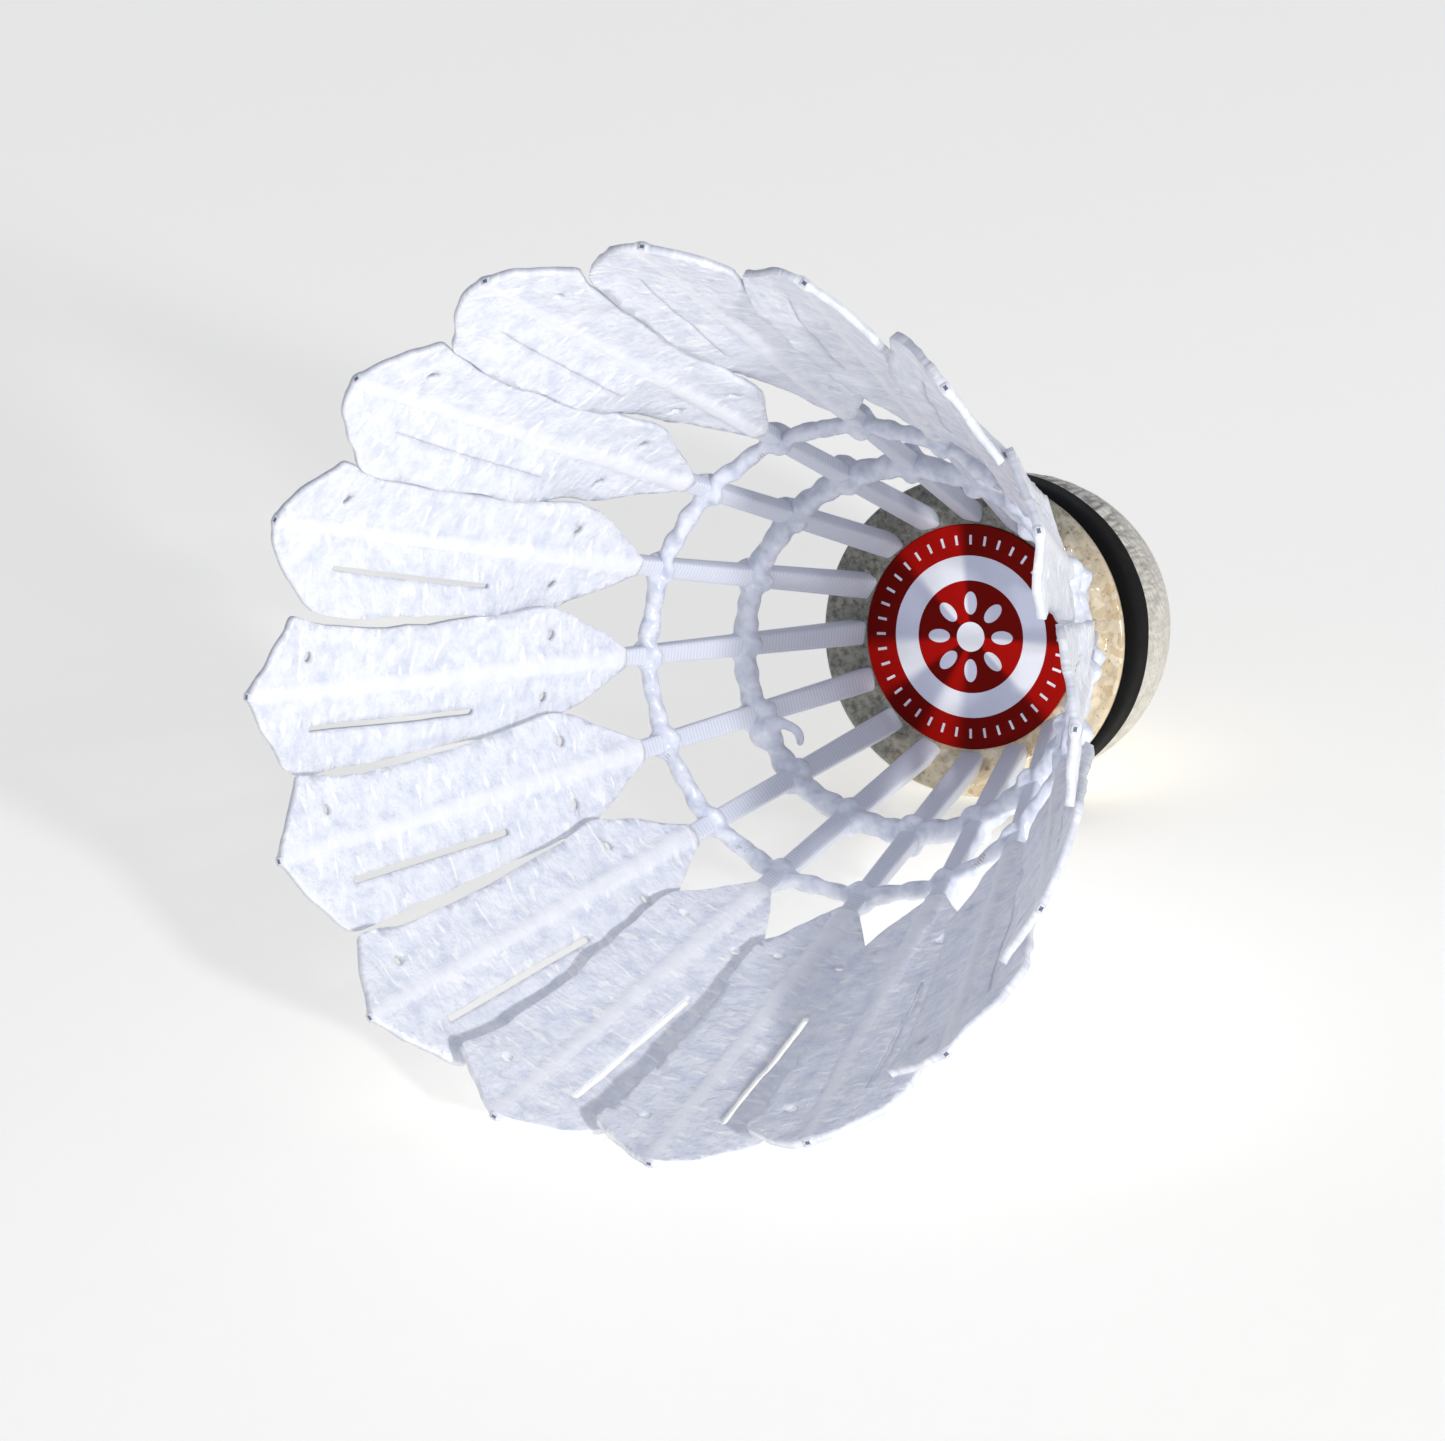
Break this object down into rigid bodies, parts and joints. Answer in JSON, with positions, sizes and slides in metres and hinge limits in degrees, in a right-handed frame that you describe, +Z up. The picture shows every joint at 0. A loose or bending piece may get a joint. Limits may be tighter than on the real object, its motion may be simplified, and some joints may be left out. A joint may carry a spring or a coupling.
{
  "type": "badminton shuttlecock",
  "caption": "Synthetic shuttlecock lying on its side: overlapping foam vanes on stiff shafts, two resin-coated thread rings and a leather-covered cork base.",
  "frame": {"origin": "middle of the bounding box at its lowest level, on the surface that the shuttlecock lies on", "axes": "+Z up; +Y towards the cork nose, so the open skirt faces -Y; the shuttlecock's own axis leans 16.45 degrees nose down from +Y; +X to the right seen from the skirt side"},
  "size_m": [0.0665, 0.0894, 0.0641],
  "materials": {
    "shaft_nylon": "semi-gloss moulded shaft with fine cross ribs",
    "vane_foam": "embossed foam sheet, soft sheen",
    "thread": "white cotton thread",
    "resin": "lumpy clear-white glue coat",
    "cork": "natural cork",
    "leather": "off-white fine-grained cover",
    "band": "black satin tape",
    "glue": "glossy glue film",
    "foil": "red metallic foil with a silver ring"
  },
  "bodies": {
    "root": {"shaft_01": "shaft_nylon", "shaft_02": "shaft_nylon", "shaft_03": "shaft_nylon", "shaft_04": "shaft_nylon", "shaft_05": "shaft_nylon", "shaft_06": "shaft_nylon", "shaft_07": "shaft_nylon", "shaft_08": "shaft_nylon", "shaft_09": "shaft_nylon", "shaft_10": "shaft_nylon", "shaft_11": "shaft_nylon", "shaft_12": "shaft_nylon", "shaft_13": "shaft_nylon", "shaft_14": "shaft_nylon", "shaft_15": "shaft_nylon", "shaft_16": "shaft_nylon", "vane_01": "vane_foam", "vane_02": "vane_foam", "vane_03": "vane_foam", "vane_04": "vane_foam", "vane_05": "vane_foam", "vane_06": "vane_foam", "vane_07": "vane_foam", "vane_08": "vane_foam", "vane_09": "vane_foam", "vane_10": "vane_foam", "vane_11": "vane_foam", "vane_12": "vane_foam", "vane_13": "vane_foam", "vane_14": "vane_foam", "vane_15": "vane_foam", "vane_16": "vane_foam", "thread_outer": "thread", "thread_inner": "thread", "resin_outer": "resin", "resin_inner": "resin", "cork_upper": "cork", "cork_nose": "cork", "leather_cover": "leather", "band": "band", "glue_film": "glue", "label": "foil"}
  },
  "joints": []
}
